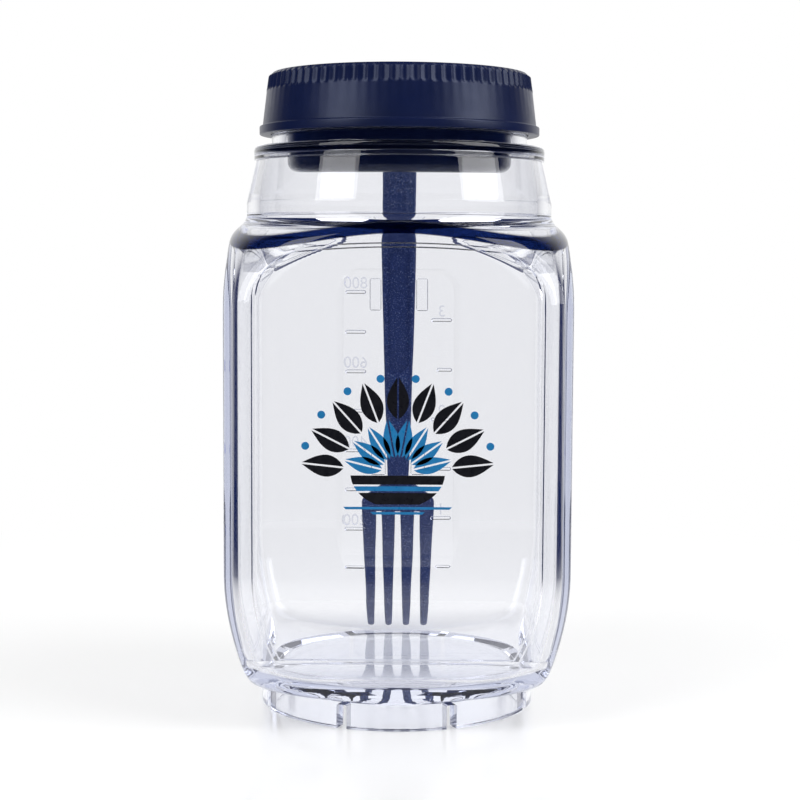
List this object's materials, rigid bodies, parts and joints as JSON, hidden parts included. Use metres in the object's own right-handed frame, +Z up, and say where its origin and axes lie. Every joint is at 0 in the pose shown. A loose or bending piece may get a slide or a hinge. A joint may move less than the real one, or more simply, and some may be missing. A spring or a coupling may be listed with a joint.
{
  "type": "salad jar",
  "caption": "Clear square food jar with a round neck, ribbed screw cap, dressing cup hung in the neck and a fork clipped upright on the back.",
  "frame": {"origin": "middle of the object's footprint on the surface it stands on; the jar's own upright axis is 3.065 mm in front of it, because the fork stands proud of the back", "axes": "+Z up along the jar, +X to the right seen from the plain front, -Y out of the plain front; the fork is on the +Y side"},
  "size_m": [0.0974, 0.1036, 0.1875],
  "materials": {
    "clear_plastic": "clear gloss",
    "navy_plastic": "fine satin moulding",
    "dark_navy_plastic": "gloss",
    "fork_plastic": "satin",
    "silicone": "matte"
  },
  "bodies": {
    "jar": {"jar_body": "clear_plastic"},
    "gasket": {"cap_gasket": "silicone"},
    "cap": {"screw_cap": "navy_plastic"},
    "cup": {"dressing_cup": "dark_navy_plastic", "cup_seal": "silicone"},
    "fork": {"fork": "fork_plastic"}
  },
  "joints": [
    {"name": "lid_rise", "type": "slide", "parent": "jar", "child": "gasket", "axis": [0, 0, 1], "range_m": [0, 0.03]},
    {"name": "lid_turn", "type": "hinge", "parent": "gasket", "child": "cap", "pos_m": [0, -0.00307, 0.18], "axis": [0, 0, 1], "range_deg": [0, 1800]},
    {"name": "cup_lift", "type": "slide", "parent": "jar", "child": "cup", "axis": [0, 0, 1], "range_m": [0, 0.024]},
    {"name": "fork_pull", "type": "slide", "parent": "jar", "child": "fork", "axis": [0, 1, 0], "range_m": [0, 0.06]}
  ],
  "couplings": [
    {"joint": "lid_rise", "follows": "lid_turn", "m_per_rad": 0.00095493},
    {"joint": "cup_lift", "follows": "lid_turn", "m_per_rad": 0.00076394}
  ]
}
